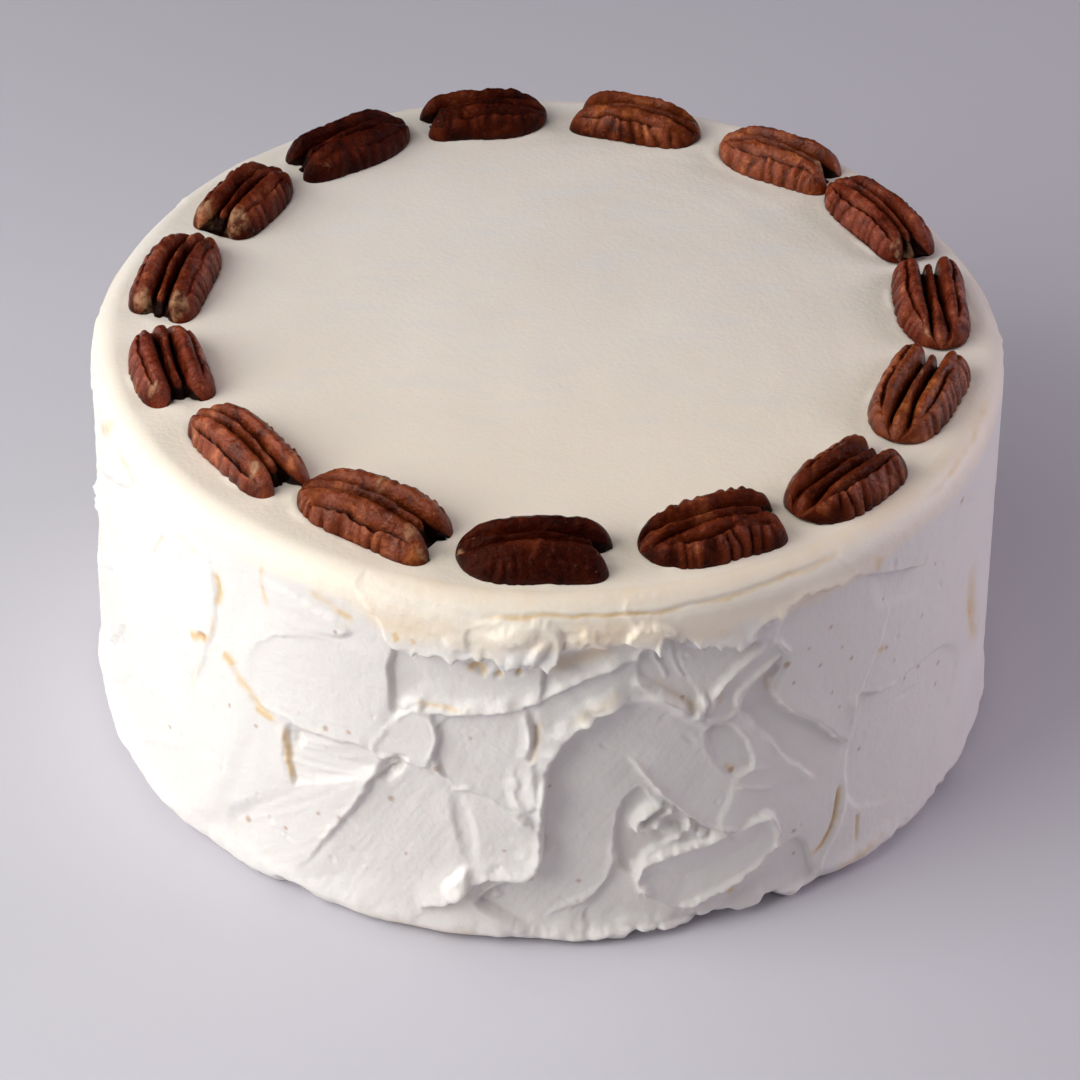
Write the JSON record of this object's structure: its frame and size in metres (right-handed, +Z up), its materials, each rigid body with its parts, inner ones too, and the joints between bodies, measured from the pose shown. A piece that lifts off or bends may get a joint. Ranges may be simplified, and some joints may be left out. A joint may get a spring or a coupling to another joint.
{
  "type": "hummingbird cake",
  "caption": "Tall round cake, frosted all over with rough palette-knife strokes, with a ring of pecan halves round the top edge.",
  "frame": {"origin": "middle of the underside, where the cake rests on its plate", "axes": "+Z up, -Y towards the side that the picture shows, +X to its right"},
  "size_m": [0.216, 0.2154, 0.1037],
  "materials": {
    "frosting": "soft satin cream frosting",
    "pecan": "satin, wrinkled skin with paler scuffs"
  },
  "bodies": {
    "root": {"cake": "frosting", "pecan_01": "pecan", "pecan_02": "pecan", "pecan_03": "pecan", "pecan_04": "pecan", "pecan_05": "pecan", "pecan_06": "pecan", "pecan_07": "pecan", "pecan_08": "pecan", "pecan_09": "pecan", "pecan_10": "pecan", "pecan_11": "pecan", "pecan_12": "pecan", "pecan_13": "pecan", "pecan_14": "pecan", "pecan_15": "pecan"}
  },
  "joints": []
}
